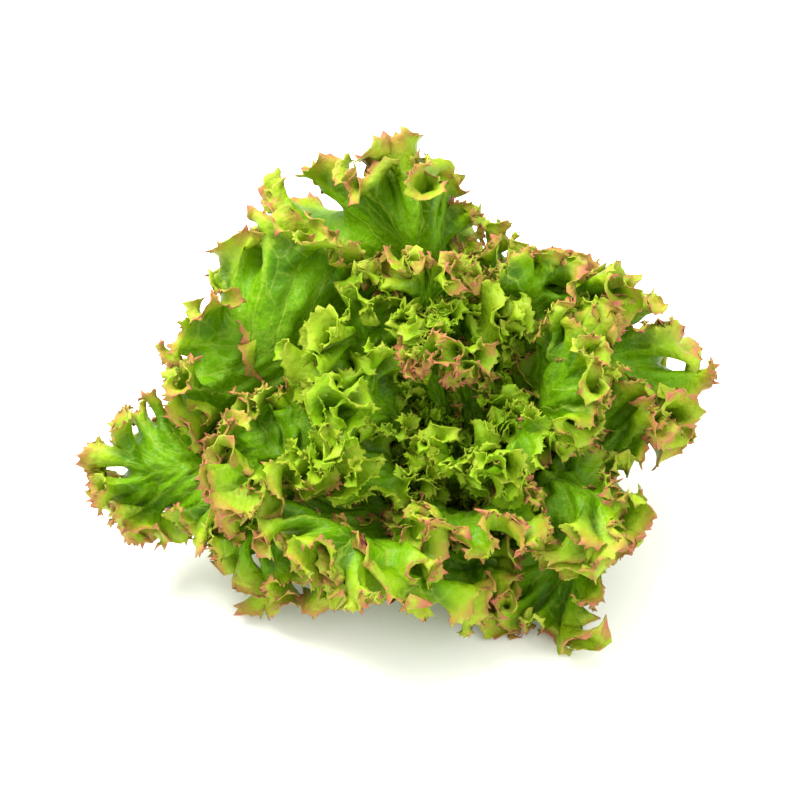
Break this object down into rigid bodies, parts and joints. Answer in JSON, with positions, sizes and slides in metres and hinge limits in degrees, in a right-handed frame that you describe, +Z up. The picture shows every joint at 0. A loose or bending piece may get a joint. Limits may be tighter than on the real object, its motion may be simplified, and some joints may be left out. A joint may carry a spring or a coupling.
{
  "type": "coral lettuce head",
  "caption": "Head of coral lettuce with finely frilled green leaves, red-brown at the tips, in a loose rosette standing on its cut stem.",
  "frame": {"origin": "centre of the stem's cut face, on the surface that the head stands on", "axes": "+Z up, +X along the head's longest spread, -Y towards the side that shows the heart"},
  "size_m": [0.2624, 0.2002, 0.1553],
  "materials": {
    "cut_stem": "moist cut stem, pale green, browning a little at the cut",
    "outer_leaf": "satin leaf, mid green with red-brown frilled tips",
    "middle_leaf": "satin leaf, bright green with reddish tips",
    "inner_leaf": "satin leaf, yellow-green with few reddish tips",
    "heart_leaf": "satin young leaf, fresh light green"
  },
  "bodies": {
    "root": {"stem": "cut_stem", "heart": "heart_leaf", "leaf_front_left": "outer_leaf", "leaf_front_right": "outer_leaf", "leaf_right": "outer_leaf", "leaf_back": "outer_leaf", "leaf_left": "outer_leaf", "leaf_front": "outer_leaf", "leaf_right_front": "outer_leaf", "leaf_back_right": "outer_leaf", "leaf_mid_back_left": "middle_leaf", "leaf_mid_front_left": "middle_leaf", "leaf_mid_front_right": "middle_leaf", "leaf_mid_right": "middle_leaf", "leaf_mid_left": "middle_leaf", "leaf_mid_front": "middle_leaf", "leaf_mid_right_front": "middle_leaf", "leaf_mid_back": "middle_leaf", "leaf_inner_back_left": "inner_leaf", "leaf_inner_front_left": "inner_leaf", "leaf_inner_front_right": "inner_leaf", "leaf_inner_back_right": "inner_leaf", "leaf_inner_left": "inner_leaf", "leaf_inner_front": "inner_leaf", "leaf_inner_right": "inner_leaf", "leaf_inner_back": "inner_leaf", "leaf_folded": "inner_leaf"}
  },
  "joints": []
}
